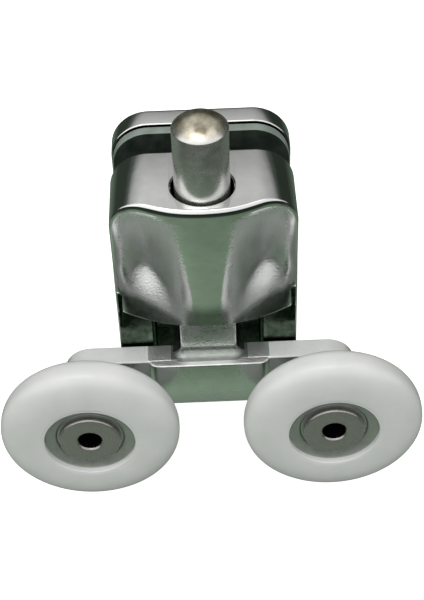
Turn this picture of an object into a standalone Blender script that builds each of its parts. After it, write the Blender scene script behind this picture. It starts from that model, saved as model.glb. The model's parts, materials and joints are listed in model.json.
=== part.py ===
"""Sliding door roller: a clamp housing with a sprung push pin and a carriage on two bearing wheels.

Metres, +Z up. The origin is the middle of the rubber face that the glass panel leans on. The
wheels stand on the -Y side, the glass slot opens along +X and +Z, and the track runs along X.
"""

import math

import bmesh
import bpy

# Running and seating clearance between neighbouring pieces
GAP = 0.0003

# How far cutters reach past the faces they open, and joined pieces into each other
OVERSHOOT = 0.001

# Clamp outline, seen from the front
BODY_WIDTH = 0.0255
BODY_HEIGHT = 0.0374
BODY_CORNER = 0.0055

# Housing depths (y), with the glass face at y = 0
HOUSING_BACK = -GAP
HOUSING_FRONT = -0.0134
FRONT_CURVE_RADIUS = 0.022
REAR_BLOCK_FRONT = -0.0099
FRONT_LOWER_EDGE = -0.0022
CHANNEL_HALF_WIDTH = 0.008
CHANNEL_BACK = -0.0039

# Push pin and its bore
BORE_Y = -0.0079
BORE_RADIUS = 0.00425
BORE_FLOOR = 0.0003
PIN_RADIUS = 0.00375
PIN_EDGE = 0.0282
PIN_TOP = 0.0300
PIN_SHOULDER = 0.0143
SHANK_RADIUS = 0.0023
PIN_THREAD_TOP = 0.0050
M3_RADIUS = 0.00145

# Return spring
SPRING_RADIUS = 0.0032
SPRING_WIRE = 0.0004
SPRING_TURNS = 6.5
SPRING_POINTS_PER_TURN = 10
SPRING_FLAT_PITCH = 2.2 * SPRING_WIRE
SPRING_WIRE_STEPS = 2

# Glass clamp: gaskets, plate, threaded posts, sleeves and screws
SLOT_WIDTH = 0.0042
FRONT_GASKET_INSET = 0.0015
BACK_GASKET_INSET = 0.0003
FRONT_GASKET_CORNER = 0.0040
BACK_GASKET_CORNER = 0.0052
FRONT_GASKET_THICKNESS = 0.0010
BACK_GASKET_THICKNESS = 0.0015
PLATE_THICKNESS = 0.0036
PLATE_BEVEL = 0.0004
PLATE_BEVEL_ANGLE = 60
SCREW_HEIGHT = 0.010
POST_RADIUS = 0.0030
POST_FRONT = -0.0027
POST_BACK = 0.0050
SLEEVE_RADIUS = 0.0041
SLEEVE_BACK = 0.0049
SCREW_RADIUS = 0.00195
SCREW_HEAD_RADIUS = 0.0040
SCREW_HEAD_RIM = 0.0002
SCREW_SOCKET_RADIUS = 0.0015
SCREW_END = 0.0002
SOCKET_DEPTH = 0.0012

# Carriage: cross bar, boss, neck and guide flange
WHEEL_SPACING = 0.034
AXLE_Z = -0.0127
BAR_RADIUS = 0.0040
BAR_FRONT = -0.0136
BAR_BACK = -0.0102
BOSS_FRONT = -0.0146
BOSS_HALF_WIDTH = 0.0087
BOSS_CORNER = 0.0015
NECK_FRONT = -0.0123
NECK_HALF_WIDTH = 0.0040
NECK_FILLET = 0.0015
NECK_FOOT_RISE = 0.0004
FLANGE_STEP = 0.0004
CARRIAGE_TOP = FRONT_LOWER_EDGE - GAP
FLANGE_FRONT = -0.0074
FLANGE_BACK = CHANNEL_BACK - GAP
COUNTERBORE_RADIUS = 0.0031
COUNTERBORE_TOP = -0.0067
CAP_HEAD_HEIGHT = 0.0022
CAP_SOCKET_RADIUS = 0.00125

# Wheels: places along the axle are measured backwards from the wheel's middle plane
WHEEL_Y = -0.02225
WHEEL_RADIUS = 0.0125
TYRE_BORE_RADIUS = 0.0063
TYRE_LIP = -0.0024
TYRE_CREST_RADIUS = 0.0076
TYRE_CREST = -0.0027
TYRE_FRONT_SQUARENESS = 2.8
TYRE_REAR_RADIUS = 0.0090
TYRE_REAR = 0.0026
TYRE_REAR_SQUARENESS = 2.8
BEARING_CENTRE = 0.00045
BEARING_WIDTH = 0.0040
OUTER_RACE_RADIUS = 0.0060
OUTER_LAND_RADIUS = 0.00495
INNER_LAND_RADIUS = 0.0034
PITCH_RADIUS = 0.0042
BALL_RADIUS = 0.00095
BALL_COUNT = 7
BALL_CLEARANCE = 0.0001
CAGE_INNER_RADIUS = 0.0038
CAGE_OUTER_RADIUS = 0.0046
CAGE_OPEN_SIDE = 0.0005
POCKET_RADIUS = 0.00115
SHIELD_INSET = 0.0001
SHIELD_THICKNESS = 0.0003
AXLE_RADIUS = 0.0023
AXLE_HEAD_RADIUS = 0.0043
AXLE_HEAD_THICKNESS = 0.0005
AXLE_HEAD_CHAMFER = 0.0002
AXLE_HOLE_RADIUS = 0.00165
AXLE_HOLE_DEPTH = 0.0085
AXLE_TAIL_RADIUS = 0.0032
AXLE_TAIL_THICKNESS = 0.0006
AXLE_TAIL_CHAMFER = 0.0003
SPACER_RADIUS = 0.0034

# Facets
WHEEL_STEPS = 36
PIN_STEPS = 24
SLEEVE_STEPS = 24
BEARING_STEPS = 20
HOLE_STEPS = 20
WIDE_ARC_STEPS = 12
ARC_STEPS = 6
BOSS_CORNER_STEPS = 3
GROOVE_STEPS = 4
FRONT_FACE_STEPS = 7
REAR_FACE_STEPS = 4
HEXAGON = 6
POCKET_STEPS_AROUND = 8
POCKET_STEPS_DOWN = 6
BALL_SUBDIVISIONS = 2

# Points closer than this are welded, and how large the joint markers are drawn
WELD = 0.000001
TURN_WELD = 0.00001
MARKER_SIZE = 0.005


def clear_scene():
    for item in list(bpy.data.objects):
        bpy.data.objects.remove(item, do_unlink=True)


def new_collection(name):
    collection = bpy.data.collections.new(name)
    bpy.context.scene.collection.children.link(collection)
    return collection


def new_material(name, color, roughness, metallic=0.0):
    material = bpy.data.materials.new(name)
    material.use_nodes = True
    shader = material.node_tree.nodes["Principled BSDF"]
    shader.inputs["Base Color"].default_value = (*color, 1.0)
    shader.inputs["Roughness"].default_value = roughness
    shader.inputs["Metallic"].default_value = metallic
    return material


def add_empty(name, location, rotation=(0.0, 0.0, 0.0)):
    empty = bpy.data.objects.new(name, None)
    empty.location = location
    empty.rotation_euler = rotation
    empty.empty_display_size = MARKER_SIZE
    PARTS.objects.link(empty)
    return empty


def add_object(name, data, material=None, parent=None):
    """Link a piece, or a cutter when it has no material."""
    item = bpy.data.objects.new(name, data)
    if material is None:
        CUTTERS.objects.link(item)
        item.hide_render = True
        item.display_type = "WIRE"
    else:
        PARTS.objects.link(item)
        item.data.materials.append(material)
    item.parent = parent
    return item


def mesh_from(name, work):
    mesh = bpy.data.meshes.new(name)
    work.to_mesh(mesh)
    work.free()
    return mesh


def box(name, low, high, material=None, parent=None):
    """Block between two corners."""
    work = bmesh.new()
    bmesh.ops.create_cube(work, size=1.0)
    size = [b - a for a, b in zip(low, high)]
    bmesh.ops.scale(work, vec=size, verts=work.verts)
    item = add_object(name, mesh_from(name, work), material, parent)
    item.location = [(a + b) / 2 for a, b in zip(low, high)]
    return item


def turned(name, profile, steps, material=None, parent=None):
    """Solid turned about local Z from a closed profile of (radius, height) points."""
    work = bmesh.new()
    points = [work.verts.new((radius, 0.0, height)) for radius, height in profile]
    for first, second in zip(points, points[1:]):
        work.edges.new((first, second))
    if profile[0][0] > 0.0 or profile[-1][0] > 0.0:
        work.edges.new((points[-1], points[0]))
    item = add_object(name, mesh_from(name, work), material, parent)
    screw = item.modifiers.new("turn", "SCREW")
    screw.axis = "Z"
    screw.angle = math.tau
    screw.steps = steps
    screw.render_steps = steps
    screw.use_merge_vertices = True
    screw.merge_threshold = TURN_WELD
    screw.use_smooth_shade = True
    return item


def ring(name, inner, outer, low, high, steps, material=None, parent=None):
    """Plain tube between two radii and two heights."""
    profile = [(outer, high), (outer, low), (inner, low), (inner, high)]
    return turned(name, profile, steps, material, parent)


def rod(name, radius, low, high, steps, material=None, parent=None):
    """Plain cylinder between two heights."""
    profile = [(0.0, high), (radius, high), (radius, low), (0.0, low)]
    return turned(name, profile, steps, material, parent)


def face_backwards(item, x, y, z):
    """Stand a turned solid so that its local Z points along +Y."""
    item.location = (x, y, z)
    item.rotation_euler = (-math.pi / 2, 0.0, 0.0)
    return item


def arc(centre_x, centre_y, radius, start, end, steps=ARC_STEPS):
    """Points on an arc, both ends included, with the angles in degrees."""
    points = []
    for step in range(steps + 1):
        angle = math.radians(start + (end - start) * step / steps)
        points.append((centre_x + radius * math.cos(angle), centre_y + radius * math.sin(angle)))
    return points


def rounded_rectangle(width, height, corner):
    """Outline centred on the origin."""
    x = width / 2 - corner
    y = height / 2 - corner
    points = arc(x, y, corner, 0, 90)
    points += arc(-x, y, corner, 90, 180)
    points += arc(-x, -y, corner, 180, 270)
    points += arc(x, -y, corner, 270, 360)
    return points


def flat_piece(name, outline, thickness, material=None, parent=None):
    """Mesh solid of a flat outline, centred on its own plane."""
    curve = bpy.data.curves.new(name, "CURVE")
    curve.dimensions = "2D"
    curve.fill_mode = "BOTH"
    curve.extrude = thickness / 2
    spline = curve.splines.new("POLY")
    spline.points.add(len(outline) - 1)
    for point, (x, y) in zip(spline.points, outline):
        point.co = (x, y, 0.0, 1.0)
    spline.use_cyclic_u = True
    guide = bpy.data.objects.new(name + "_outline", curve)
    bpy.context.scene.collection.objects.link(guide)
    bpy.context.view_layer.update()
    evaluated = guide.evaluated_get(bpy.context.evaluated_depsgraph_get())
    mesh = bpy.data.meshes.new_from_object(evaluated)
    bpy.data.objects.remove(guide, do_unlink=True)
    work = bmesh.new()
    work.from_mesh(mesh)
    bmesh.ops.remove_doubles(work, verts=work.verts, dist=WELD)
    bmesh.ops.recalc_face_normals(work, faces=work.faces)
    work.to_mesh(mesh)
    work.free()
    mesh.materials.clear()
    return add_object(name, mesh, material, parent)


def stand_between(item, front, back, x=0.0, z=0.0):
    """Stand a flat piece upright, facing -Y, centred between two depths."""
    item.rotation_euler = (math.pi / 2, 0.0, 0.0)
    item.location = (x, (front + back) / 2, z)
    return item


def combine(target, tool, operation):
    modifier = target.modifiers.new(tool.name, "BOOLEAN")
    modifier.operation = operation
    modifier.solver = "EXACT"
    modifier.object = tool


def cut(target, tool):
    combine(target, tool, "DIFFERENCE")


def join(target, tool):
    combine(target, tool, "UNION")


def make_housing():
    """Chromed casting: bore for the pin above, channel for the carriage below, glass face behind."""
    outline = rounded_rectangle(BODY_WIDTH, BODY_HEIGHT, BODY_CORNER)
    depth = HOUSING_BACK - HOUSING_FRONT
    housing = flat_piece("housing", outline, depth, CHROME)
    stand_between(housing, HOUSING_FRONT, HOUSING_BACK)

    half = BODY_WIDTH / 2 + OVERSHOOT
    spread = math.degrees(math.asin(half / FRONT_CURVE_RADIUS))
    curve_centre = HOUSING_FRONT + FRONT_CURVE_RADIUS
    plan = arc(0.0, curve_centre, FRONT_CURVE_RADIUS, 270 - spread, 270 + spread, WIDE_ARC_STEPS)
    plan += [(half, OVERSHOOT), (-half, OVERSHOOT)]
    plan_cutter = flat_piece("housing_plan", plan, BODY_HEIGHT + 2 * OVERSHOOT)
    combine(housing, plan_cutter, "INTERSECT")

    below = -BODY_HEIGHT / 2 - OVERSHOOT
    in_front = HOUSING_FRONT - OVERSHOOT
    opening_high = (half, REAR_BLOCK_FRONT, FRONT_LOWER_EDGE)
    cut(housing, box("front_opening", (-half, in_front, below), opening_high))
    channel_low = (-CHANNEL_HALF_WIDTH, REAR_BLOCK_FRONT - OVERSHOOT, below)
    channel_high = (CHANNEL_HALF_WIDTH, CHANNEL_BACK, FRONT_LOWER_EDGE)
    cut(housing, box("channel", channel_low, channel_high))

    bore = rod("bore", BORE_RADIUS, BORE_FLOOR, BODY_HEIGHT / 2 + OVERSHOOT, PIN_STEPS)
    bore.location = (0.0, BORE_Y, 0.0)
    cut(housing, bore)
    shank_low = FRONT_LOWER_EDGE - OVERSHOOT
    shank_high = BORE_FLOOR + OVERSHOOT
    shank_hole = rod("shank_hole", SHANK_RADIUS + GAP, shank_low, shank_high, HOLE_STEPS)
    shank_hole.location = (0.0, BORE_Y, 0.0)
    cut(housing, shank_hole)

    pocket_outline = rounded_rectangle(
        BODY_WIDTH - 2 * FRONT_GASKET_INSET + 2 * GAP,
        BODY_HEIGHT - 2 * FRONT_GASKET_INSET + 2 * GAP,
        FRONT_GASKET_CORNER + GAP,
    )
    pocket_floor = -FRONT_GASKET_THICKNESS - GAP
    pocket = flat_piece("gasket_pocket", pocket_outline, OVERSHOOT - pocket_floor)
    cut(housing, stand_between(pocket, pocket_floor, OVERSHOOT))
    for side, height in CLAMP_SCREWS:
        hole = rod(side + "_post_hole", POST_RADIUS + GAP, POST_FRONT - GAP, OVERSHOOT, HOLE_STEPS)
        cut(housing, face_backwards(hole, 0.0, 0.0, height))


def make_gasket(name, front, back, inset, corner):
    """Rubber sheet with a hole for each glass sleeve."""
    outline = rounded_rectangle(BODY_WIDTH - 2 * inset, BODY_HEIGHT - 2 * inset, corner)
    gasket = flat_piece(name, outline, back - front, RUBBER)
    stand_between(gasket, front, back)
    for side, height in CLAMP_SCREWS:
        hole_name = f"{name}_{side}_hole"
        hole = rod(hole_name, SLEEVE_RADIUS + GAP, front - OVERSHOOT, back + OVERSHOOT, SLEEVE_STEPS)
        cut(gasket, face_backwards(hole, 0.0, 0.0, height))


def make_clamp_plate(front, back):
    """Chromed plate behind the glass, countersunk for two screws."""
    outline = rounded_rectangle(BODY_WIDTH, BODY_HEIGHT, BODY_CORNER)
    plate = flat_piece("clamp_plate", outline, back - front, CHROME)
    stand_between(plate, front, back)
    edge = plate.modifiers.new("edge", "BEVEL")
    edge.width = PLATE_BEVEL
    edge.segments = 1
    edge.limit_method = "ANGLE"
    edge.angle_limit = math.radians(PLATE_BEVEL_ANGLE)
    hole_radius = SCREW_RADIUS + GAP
    wide = SCREW_HEAD_RADIUS + GAP
    rim = back + OVERSHOOT
    for side, height in CLAMP_SCREWS:
        profile = [
            (0.0, rim),
            (wide, rim),
            (wide, back - GAP),
            (hole_radius, back - GAP - (wide - hole_radius)),
            (hole_radius, front - OVERSHOOT),
            (0.0, front - OVERSHOOT),
        ]
        hole = turned(side + "_countersink", profile, SLEEVE_STEPS)
        cut(plate, face_backwards(hole, 0.0, 0.0, height))


def make_clamp_fasteners(plate_back):
    """For each fixing point: a threaded post, a plastic sleeve for the glass, and a screw."""
    for side, height in CLAMP_SCREWS:
        post_profile = [
            (0.0, SCREW_END - GAP),
            (SCREW_RADIUS + GAP, SCREW_END - GAP),
            (SCREW_RADIUS + GAP, POST_BACK),
            (POST_RADIUS, POST_BACK),
            (POST_RADIUS, POST_FRONT),
            (0.0, POST_FRONT),
        ]
        post = turned(side + "_threaded_post", post_profile, HOLE_STEPS, BRASS)
        face_backwards(post, 0.0, 0.0, height)

        sleeve_name = side + "_glass_sleeve"
        sleeve_front = -FRONT_GASKET_THICKNESS
        sleeve_inner = POST_RADIUS + GAP
        sleeve = ring(
            sleeve_name, sleeve_inner, SLEEVE_RADIUS, sleeve_front, SLEEVE_BACK, SLEEVE_STEPS, PLASTIC
        )
        face_backwards(sleeve, 0.0, 0.0, height)

        head = plate_back - GAP
        screw_profile = [
            (0.0, head),
            (SCREW_HEAD_RADIUS, head),
            (SCREW_HEAD_RADIUS, head - SCREW_HEAD_RIM),
            (SCREW_RADIUS, head - SCREW_HEAD_RIM - (SCREW_HEAD_RADIUS - SCREW_RADIUS)),
            (SCREW_RADIUS, SCREW_END),
            (0.0, SCREW_END),
        ]
        screw = turned(side + "_clamp_screw", screw_profile, SLEEVE_STEPS, ZINC)
        face_backwards(screw, 0.0, 0.0, height)
        socket_name = side + "_screw_socket"
        socket = rod(socket_name, SCREW_SOCKET_RADIUS, head - SOCKET_DEPTH, head + OVERSHOOT, HEXAGON)
        cut(screw, face_backwards(socket, 0.0, 0.0, height))


def make_push_pin(parent):
    """Domed pin with a shoulder for the spring and a shank that reaches the carriage."""
    rise = PIN_TOP - PIN_EDGE
    dome_radius = (PIN_RADIUS**2 + rise**2) / (2 * rise)
    half_angle = math.degrees(math.asin(PIN_RADIUS / dome_radius))
    profile = arc(0.0, PIN_TOP - dome_radius, dome_radius, 90, 90 - half_angle)
    profile[0] = (0.0, PIN_TOP)
    profile += [
        (PIN_RADIUS, PIN_SHOULDER),
        (SHANK_RADIUS, PIN_SHOULDER),
        (SHANK_RADIUS, CARRIAGE_TOP + GAP),
        (M3_RADIUS + GAP, CARRIAGE_TOP + GAP),
        (M3_RADIUS + GAP, PIN_THREAD_TOP),
        (0.0, PIN_THREAD_TOP),
    ]
    turned("push_pin", profile, PIN_STEPS, STEEL, parent)


def make_return_spring(parent):
    """Coil between the bore's floor and the pin's shoulder, with a flat turn at each end."""
    curve = bpy.data.curves.new("return_spring", "CURVE")
    curve.dimensions = "3D"
    curve.bevel_depth = SPRING_WIRE
    curve.bevel_resolution = SPRING_WIRE_STEPS
    curve.use_fill_caps = True
    low = BORE_FLOOR + GAP + SPRING_WIRE
    high = PIN_SHOULDER - GAP - SPRING_WIRE
    count = int(SPRING_TURNS * SPRING_POINTS_PER_TURN)
    spline = curve.splines.new("POLY")
    spline.points.add(count)
    for index, point in enumerate(spline.points):
        turn = index / SPRING_POINTS_PER_TURN
        if turn < 1.0:
            height = low + SPRING_FLAT_PITCH * turn
        elif turn > SPRING_TURNS - 1.0:
            height = high - SPRING_FLAT_PITCH * (SPRING_TURNS - turn)
        else:
            share = (turn - 1.0) / (SPRING_TURNS - 2.0)
            height = low + SPRING_FLAT_PITCH + (high - low - 2 * SPRING_FLAT_PITCH) * share
        angle = math.tau * turn
        point.co = (SPRING_RADIUS * math.cos(angle), SPRING_RADIUS * math.sin(angle), height, 1.0)
    add_object("return_spring", curve, STEEL, parent)


def neck_outline():
    """Front view of the neck and its foot, with concave fillets where they meet, axle at y = 0."""
    foot = NECK_HALF_WIDTH + NECK_FILLET
    fillet_centre = BAR_RADIUS + NECK_FILLET
    top = CARRIAGE_TOP - AXLE_Z
    right = [(foot, NECK_FOOT_RISE - BAR_RADIUS)]
    right += arc(foot, fillet_centre, NECK_FILLET, 270, 180)
    right.append((NECK_HALF_WIDTH, top))
    left = [(-x, y) for x, y in reversed(right)]
    return right + left


def make_carriage(parent):
    """Chromed casting that carries both axles and hangs from the pin."""
    half = WHEEL_SPACING / 2
    bar_outline = arc(half, 0.0, BAR_RADIUS, -90, 90, WIDE_ARC_STEPS)
    bar_outline += arc(-half, 0.0, BAR_RADIUS, 90, 270, WIDE_ARC_STEPS)
    carriage = flat_piece("carriage", bar_outline, BAR_BACK - BAR_FRONT, CHROME, parent)
    stand_between(carriage, BAR_FRONT, BAR_BACK, z=AXLE_Z)

    boss_x = BOSS_HALF_WIDTH - BOSS_CORNER
    boss_y = BOSS_FRONT + BOSS_CORNER
    boss_outline = arc(-boss_x, boss_y, BOSS_CORNER, 180, 270, BOSS_CORNER_STEPS)
    boss_outline += arc(boss_x, boss_y, BOSS_CORNER, 270, 360, BOSS_CORNER_STEPS)
    boss_back = BAR_BACK - OVERSHOOT
    boss_outline += [(BOSS_HALF_WIDTH, boss_back), (-BOSS_HALF_WIDTH, boss_back)]
    boss = flat_piece("boss", boss_outline, 2 * BAR_RADIUS)
    boss.location = (0.0, 0.0, AXLE_Z)
    join(carriage, boss)

    neck_back = FLANGE_FRONT + OVERSHOOT
    neck = flat_piece("neck", neck_outline(), neck_back - NECK_FRONT)
    join(carriage, stand_between(neck, NECK_FRONT, neck_back, z=AXLE_Z))
    flange_half = CHANNEL_HALF_WIDTH - GAP
    flange_low = (-flange_half, FLANGE_FRONT, AXLE_Z - BAR_RADIUS + NECK_FOOT_RISE + FLANGE_STEP)
    flange_high = (flange_half, FLANGE_BACK, CARRIAGE_TOP - FLANGE_STEP)
    join(carriage, box("guide_flange", flange_low, flange_high))

    hole_top = CARRIAGE_TOP + OVERSHOOT
    hole_low = AXLE_Z - BAR_RADIUS - OVERSHOOT
    screw_hole_profile = [
        (0.0, hole_top),
        (M3_RADIUS + GAP, hole_top),
        (M3_RADIUS + GAP, COUNTERBORE_TOP),
        (COUNTERBORE_RADIUS, COUNTERBORE_TOP),
        (COUNTERBORE_RADIUS, hole_low),
        (0.0, hole_low),
    ]
    screw_hole = turned("carriage_screw_hole", screw_hole_profile, HOLE_STEPS)
    screw_hole.location = (0.0, BORE_Y, 0.0)
    cut(carriage, screw_hole)
    for side, sign in SIDES:
        hole_front = BOSS_FRONT - OVERSHOOT
        hole_back = BAR_BACK + OVERSHOOT
        hole = rod(side + "_axle_hole", AXLE_RADIUS + GAP, hole_front, hole_back, HOLE_STEPS)
        cut(carriage, face_backwards(hole, sign * half, 0.0, AXLE_Z))


def make_carriage_screw(parent):
    """Cap screw from below that ties the carriage to the pin's shank."""
    head_top = COUNTERBORE_TOP - GAP
    head_low = head_top - CAP_HEAD_HEIGHT
    profile = [
        (0.0, PIN_THREAD_TOP - GAP),
        (M3_RADIUS, PIN_THREAD_TOP - GAP),
        (M3_RADIUS, head_top),
        (COUNTERBORE_RADIUS - GAP, head_top),
        (COUNTERBORE_RADIUS - GAP, head_low),
        (0.0, head_low),
    ]
    screw = turned("carriage_screw", profile, HOLE_STEPS, ZINC, parent)
    socket_low = head_low - OVERSHOOT
    socket_high = head_low + SOCKET_DEPTH
    socket = rod("carriage_screw_socket", CAP_SOCKET_RADIUS, socket_low, socket_high, HEXAGON)
    socket.location = (0.0, BORE_Y, 0.0)
    cut(screw, socket)


def make_axle(side, axis):
    """Hollow rivet: a flat head in front of the bearing and a spread tail behind the bar."""
    head_back = BEARING_CENTRE - BEARING_WIDTH / 2 - GAP
    head_front = head_back - AXLE_HEAD_THICKNESS
    tail_front = BAR_BACK + GAP - WHEEL_Y
    tail_back = tail_front + AXLE_TAIL_THICKNESS
    hole_end = head_front + AXLE_HOLE_DEPTH
    profile = [
        (0.0, tail_back),
        (AXLE_TAIL_RADIUS - AXLE_TAIL_CHAMFER, tail_back),
        (AXLE_TAIL_RADIUS, tail_front),
        (AXLE_RADIUS, tail_front),
        (AXLE_RADIUS, head_back),
        (AXLE_HEAD_RADIUS, head_back),
        (AXLE_HEAD_RADIUS, head_front + AXLE_HEAD_CHAMFER),
        (AXLE_HEAD_RADIUS - AXLE_HEAD_CHAMFER, head_front),
        (AXLE_HOLE_RADIUS, head_front),
        (AXLE_HOLE_RADIUS, hole_end),
        (0.0, hole_end),
    ]
    turned(side + "_axle", profile, BEARING_STEPS, STEEL, axis)
    spacer_front = BEARING_CENTRE + BEARING_WIDTH / 2 + GAP
    spacer_back = BAR_FRONT - GAP - WHEEL_Y
    inner = AXLE_RADIUS + GAP
    ring(side + "_axle_spacer", inner, SPACER_RADIUS, spacer_front, spacer_back, BEARING_STEPS, ZINC, axis)


def oval(inner_radius, face, squareness, steps):
    """Squarish quarter oval from a face of the tyre out to its widest line, as (radius, height)."""
    points = []
    for step in range(steps + 1):
        angle = math.pi / 2 * step / steps
        outwards = math.sin(angle) ** (2 / squareness)
        height = face * math.cos(angle) ** (2 / squareness)
        points.append((inner_radius + (WHEEL_RADIUS - inner_radius) * outwards, height))
    return points


def make_tyre(side, axis):
    """Nylon tyre with a full round face that sinks a little towards the bearing, and a fuller back."""
    front = oval(TYRE_CREST_RADIUS, TYRE_CREST, TYRE_FRONT_SQUARENESS, FRONT_FACE_STEPS)
    rear = oval(TYRE_REAR_RADIUS, TYRE_REAR, TYRE_REAR_SQUARENESS, REAR_FACE_STEPS)
    profile = [(TYRE_BORE_RADIUS, TYRE_REAR)]
    profile += rear[:-1]
    profile += reversed(front)
    profile.append((TYRE_BORE_RADIUS, TYRE_LIP))
    turned(side + "_tyre", profile, WHEEL_STEPS, NYLON, axis)


def groove(land_radius):
    """Ball track across the middle of a land: the inner race's runs downwards, the outer's upwards."""
    track = BALL_RADIUS + BALL_CLEARANCE
    half_angle = math.degrees(math.acos(abs(land_radius - PITCH_RADIUS) / track))
    middle = 0 if land_radius > PITCH_RADIUS else 180
    start = middle - half_angle
    end = middle + half_angle
    return arc(PITCH_RADIUS, BEARING_CENTRE, track, start, end, GROOVE_STEPS)


def make_bearing(side, axis, cage_axis):
    """Shielded ball bearing in the wheel's middle."""
    low = BEARING_CENTRE - BEARING_WIDTH / 2
    high = BEARING_CENTRE + BEARING_WIDTH / 2
    bore = AXLE_RADIUS + GAP
    inner_profile = [(INNER_LAND_RADIUS, high)] + groove(INNER_LAND_RADIUS)
    inner_profile += [(INNER_LAND_RADIUS, low), (bore, low), (bore, high)]
    turned(side + "_bearing_inner_race", inner_profile, BEARING_STEPS, STEEL, axis)
    outer_profile = [(OUTER_RACE_RADIUS, high), (OUTER_RACE_RADIUS, low), (OUTER_LAND_RADIUS, low)]
    outer_profile += groove(OUTER_LAND_RADIUS) + [(OUTER_LAND_RADIUS, high)]
    turned(side + "_bearing_outer_race", outer_profile, WHEEL_STEPS, STEEL, axis)

    shield_inner = INNER_LAND_RADIUS + GAP
    shield_outer = OUTER_LAND_RADIUS - GAP
    for place, shield_low in (
        ("front", low + SHIELD_INSET),
        ("rear", high - SHIELD_INSET - SHIELD_THICKNESS),
    ):
        name = f"{side}_bearing_{place}_shield"
        shield_high = shield_low + SHIELD_THICKNESS
        ring(name, shield_inner, shield_outer, shield_low, shield_high, BEARING_STEPS, STEEL, axis)

    cage_low = BEARING_CENTRE - POCKET_RADIUS - GAP
    cage_high = BEARING_CENTRE + CAGE_OPEN_SIDE
    cage_name = side + "_bearing_cage"
    radii = (CAGE_INNER_RADIUS, CAGE_OUTER_RADIUS)
    cage = ring(cage_name, *radii, cage_low, cage_high, BEARING_STEPS, PLASTIC, cage_axis)
    pockets = bmesh.new()
    for number in range(BALL_COUNT):
        angle = math.tau * (number + 0.5) / BALL_COUNT
        place = (PITCH_RADIUS * math.cos(angle), PITCH_RADIUS * math.sin(angle), BEARING_CENTRE)
        pocket = bmesh.ops.create_uvsphere(
            pockets, u_segments=POCKET_STEPS_AROUND, v_segments=POCKET_STEPS_DOWN, radius=POCKET_RADIUS
        )
        bmesh.ops.translate(pockets, vec=place, verts=pocket["verts"])
        make_ball(f"{side}_bearing_ball_{number + 1}", place, cage_axis)
    cutter = add_object(side + "_cage_pockets", mesh_from("pockets", pockets), parent=cage_axis)
    cut(cage, cutter)


def make_ball(name, place, parent):
    work = bmesh.new()
    bmesh.ops.create_icosphere(work, subdivisions=BALL_SUBDIVISIONS, radius=BALL_RADIUS)
    for face in work.faces:
        face.smooth = True
    ball = add_object(name, mesh_from(name, work), STEEL, parent)
    ball.location = place


def make_wheels():
    for side, sign in SIDES:
        place = (sign * WHEEL_SPACING / 2, WHEEL_Y, AXLE_Z)
        axis = add_empty(side + "_wheel_axis", place, (-math.pi / 2, 0.0, 0.0))
        cage_axis = add_empty(side + "_cage_axis", place, (-math.pi / 2, 0.0, 0.0))
        make_axle(side, axis)
        make_tyre(side, axis)
        make_bearing(side, axis, cage_axis)


def make_clamp():
    front_size = (FRONT_GASKET_INSET, FRONT_GASKET_CORNER)
    make_gasket("front_gasket", -FRONT_GASKET_THICKNESS, 0.0, *front_size)
    gasket_back = SLOT_WIDTH + BACK_GASKET_THICKNESS
    back_size = (BACK_GASKET_INSET, BACK_GASKET_CORNER)
    make_gasket("back_gasket", SLOT_WIDTH, gasket_back, *back_size)
    plate_front = gasket_back + GAP
    plate_back = plate_front + PLATE_THICKNESS
    make_clamp_plate(plate_front, plate_back)
    make_clamp_fasteners(plate_back)


clear_scene()
PARTS = new_collection("sliding_door_roller")
CUTTERS = new_collection("cutters")
SIDES = (("left", -1), ("right", 1))
CLAMP_SCREWS = (("upper", SCREW_HEIGHT), ("lower", -SCREW_HEIGHT))

CHROME = new_material("bright_chrome", (0.80, 0.81, 0.82), 0.12, 1.0)
STEEL = new_material("satin_steel", (0.66, 0.65, 0.63), 0.30, 1.0)
ZINC = new_material("zinc_plated_steel", (0.58, 0.59, 0.60), 0.38, 1.0)
BRASS = new_material("threaded_brass", (0.72, 0.58, 0.30), 0.35, 1.0)
NYLON = new_material("white_nylon", (0.80, 0.81, 0.80), 0.38)
PLASTIC = new_material("clear_plastic", (0.70, 0.72, 0.70), 0.30)
RUBBER = new_material("grey_gasket", (0.36, 0.39, 0.36), 0.55)

pin_axis = add_empty("pin_axis", (0.0, BORE_Y, 0.0))
make_housing()
make_clamp()
make_push_pin(pin_axis)
make_return_spring(pin_axis)
make_carriage(None)
make_carriage_screw(pin_axis)
make_wheels()
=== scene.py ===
"""Looks of the sliding door roller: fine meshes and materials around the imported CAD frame."""

import json
import math

import bmesh
import bpy
import numpy as np
from mathutils import Matrix, Vector


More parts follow.
